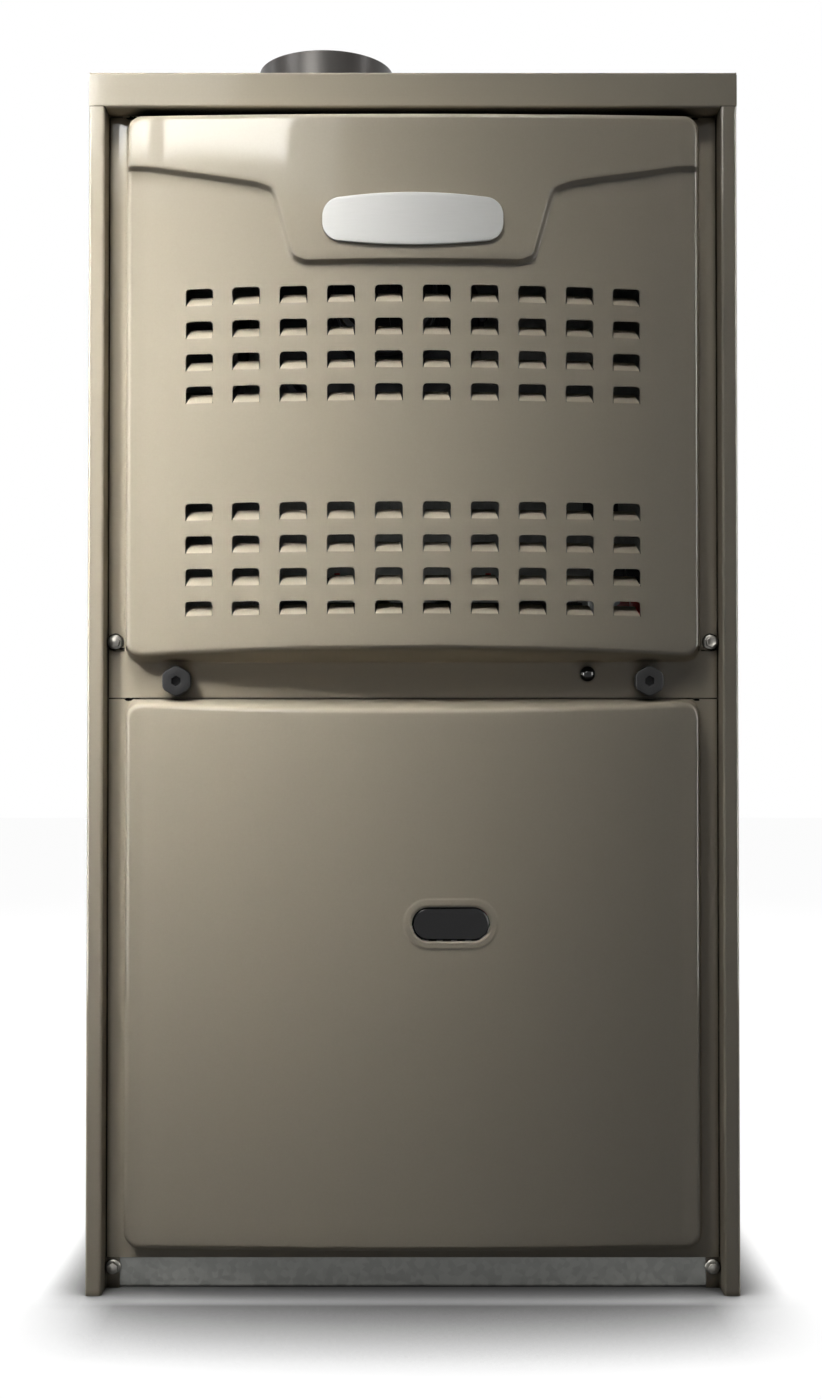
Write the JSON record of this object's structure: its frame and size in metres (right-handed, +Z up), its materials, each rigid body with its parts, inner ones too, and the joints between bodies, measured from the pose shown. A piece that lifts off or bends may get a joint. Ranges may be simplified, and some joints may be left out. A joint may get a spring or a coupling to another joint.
{
  "type": "forced air gas furnace",
  "caption": "Upflow forced air gas furnace: painted sheet cabinet, louvred upper door, plain lower door with sight window, vent collar, burners, heat exchanger and blower inside.",
  "frame": {"origin": "middle of the bounding box at the floor, under the cabinet", "axes": "+X to the right seen from the front, +Y from the doors to the back panel, +Z up"},
  "size_m": [0.446, 0.7298, 0.886],
  "materials": {
    "casing_paint": "satin warm grey enamel with fine orange peel",
    "galvanised": "bare galvanised sheet",
    "vent_black": "black satin enamel",
    "badge_metal": "fine brushed",
    "black_plastic": "moulded",
    "gloss_black": "polished",
    "zinc": "zinc plated",
    "aluminised": "aluminised steel",
    "foil_blanket": "faced glass fibre",
    "dark_motor": "dark enamel",
    "gas_pipe": "black pipe",
    "brass": "turned",
    "valve_metal": "die cast",
    "red_plastic": "moulded",
    "ceramic": "glazed",
    "rubber_hose": "matt",
    "board_green": "circuit board with dark parts",
    "lamination": "varnished laminations",
    "white_plastic": "moulded",
    "galvanised_wheel": "galvanised",
    "shaft_steel": "ground"
  },
  "bodies": {
    "cabinet": {"left_side_panel": "casing_paint", "right_side_panel": "casing_paint", "back_panel": "casing_paint", "top_cap": "casing_paint", "vent_collar": "vent_black", "vestibule_panel": "galvanised", "blower_deck": "galvanised", "centre_rail": "casing_paint", "bottom_panel": "galvanised", "bottom_cap": "galvanised", "heating_blanket": "foil_blanket", "heat_exchanger_1": "aluminised", "heat_exchanger_2": "aluminised", "heat_exchanger_3": "aluminised", "heat_exchanger_4": "aluminised", "collector_box": "aluminised", "inducer_housing": "dark_motor", "inducer_motor": "dark_motor", "burner_rack": "aluminised", "burner_1": "aluminised", "burner_2": "aluminised", "burner_3": "aluminised", "burner_4": "aluminised", "gas_manifold": "gas_pipe", "gas_orifices": "brass", "gas_valve": "valve_metal", "ignitor": "ceramic", "flame_sensor": "ceramic", "rollout_switch_left": "black_plastic", "rollout_switch_right": "black_plastic", "pressure_switch": "black_plastic", "pressure_hose": "rubber_hose", "limit_switch": "dark_motor", "junction_box": "galvanised", "control_bracket": "galvanised", "control_board": "board_green", "transformer": "lamination", "door_switch": "white_plastic", "blower_housing": "galvanised", "blower_motor": "dark_motor", "motor_mount": "zinc", "capacitor": "valve_metal", "cabinet_screws": "zinc"},
    "upper_door": {"upper_door_panel": "casing_paint", "badge": "badge_metal", "plug_button": "gloss_black"},
    "latch_left": {"latch_knob_left": "black_plastic"},
    "latch_right": {"latch_knob_right": "black_plastic"},
    "lower_door": {"lower_door_panel": "casing_paint", "lower_door_insulation": "foil_blanket", "sight_glass": "gloss_black"},
    "inducer_rotor": {"inducer_wheel": "aluminised", "inducer_shaft": "shaft_steel", "inducer_cooling_fan": "black_plastic"},
    "blower_rotor": {"blower_wheel": "galvanised_wheel", "blower_shaft": "shaft_steel"},
    "gas_knob": {"gas_valve_knob": "red_plastic"},
    "switch_plunger": {"door_switch_plunger": "black_plastic"},
    "reset_left": {"rollout_button_left": "red_plastic"},
    "reset_right": {"rollout_button_right": "red_plastic"}
  },
  "joints": [
    {"name": "upper_door_slide", "type": "slide", "parent": "cabinet", "child": "upper_door", "axis": [0, -1, 0], "range_m": [0, 0.2]},
    {"name": "latch_left_turn", "type": "hinge", "parent": "upper_door", "child": "latch_left", "pos_m": [-0.1627, -0.3301, 0.4186], "axis": [0, 1, 0], "range_deg": [0, 90]},
    {"name": "latch_right_turn", "type": "hinge", "parent": "upper_door", "child": "latch_right", "pos_m": [0.1627, -0.3301, 0.4186], "axis": [0, 1, 0], "range_deg": [0, 90]},
    {"name": "lower_door_slide", "type": "slide", "parent": "cabinet", "child": "lower_door", "axis": [0, -1, 0], "range_m": [0, 0.2]},
    {"name": "inducer_spin", "type": "hinge", "parent": "cabinet", "child": "inducer_rotor", "pos_m": [-0.0198, -0.2081, 0.7], "axis": [0, 1, 0], "continuous": true},
    {"name": "blower_spin", "type": "hinge", "parent": "cabinet", "child": "blower_rotor", "pos_m": [0, 0.0599, 0.2158], "axis": [1, 0, 0], "continuous": true},
    {"name": "gas_knob_turn", "type": "hinge", "parent": "cabinet", "child": "gas_knob", "pos_m": [0.156, -0.3021, 0.4668], "axis": [0, 1, 0], "range_deg": [0, 90]},
    {"name": "switch_plunger_slide", "type": "slide", "parent": "cabinet", "child": "switch_plunger", "axis": [0, -1, 0], "range_m": [0, 0.005]},
    {"name": "reset_left_press", "type": "slide", "parent": "cabinet", "child": "reset_left", "axis": [0, 0, -1], "range_m": [0, 0.002], "stiffness_N_per_m": 400, "springref_m": -0.001},
    {"name": "reset_right_press", "type": "slide", "parent": "cabinet", "child": "reset_right", "axis": [0, 0, -1], "range_m": [0, 0.002], "stiffness_N_per_m": 400, "springref_m": -0.001}
  ],
  "couplings": [
    {"joint": "switch_plunger_slide", "follows": "lower_door_slide", "ratio": 0.025}
  ]
}
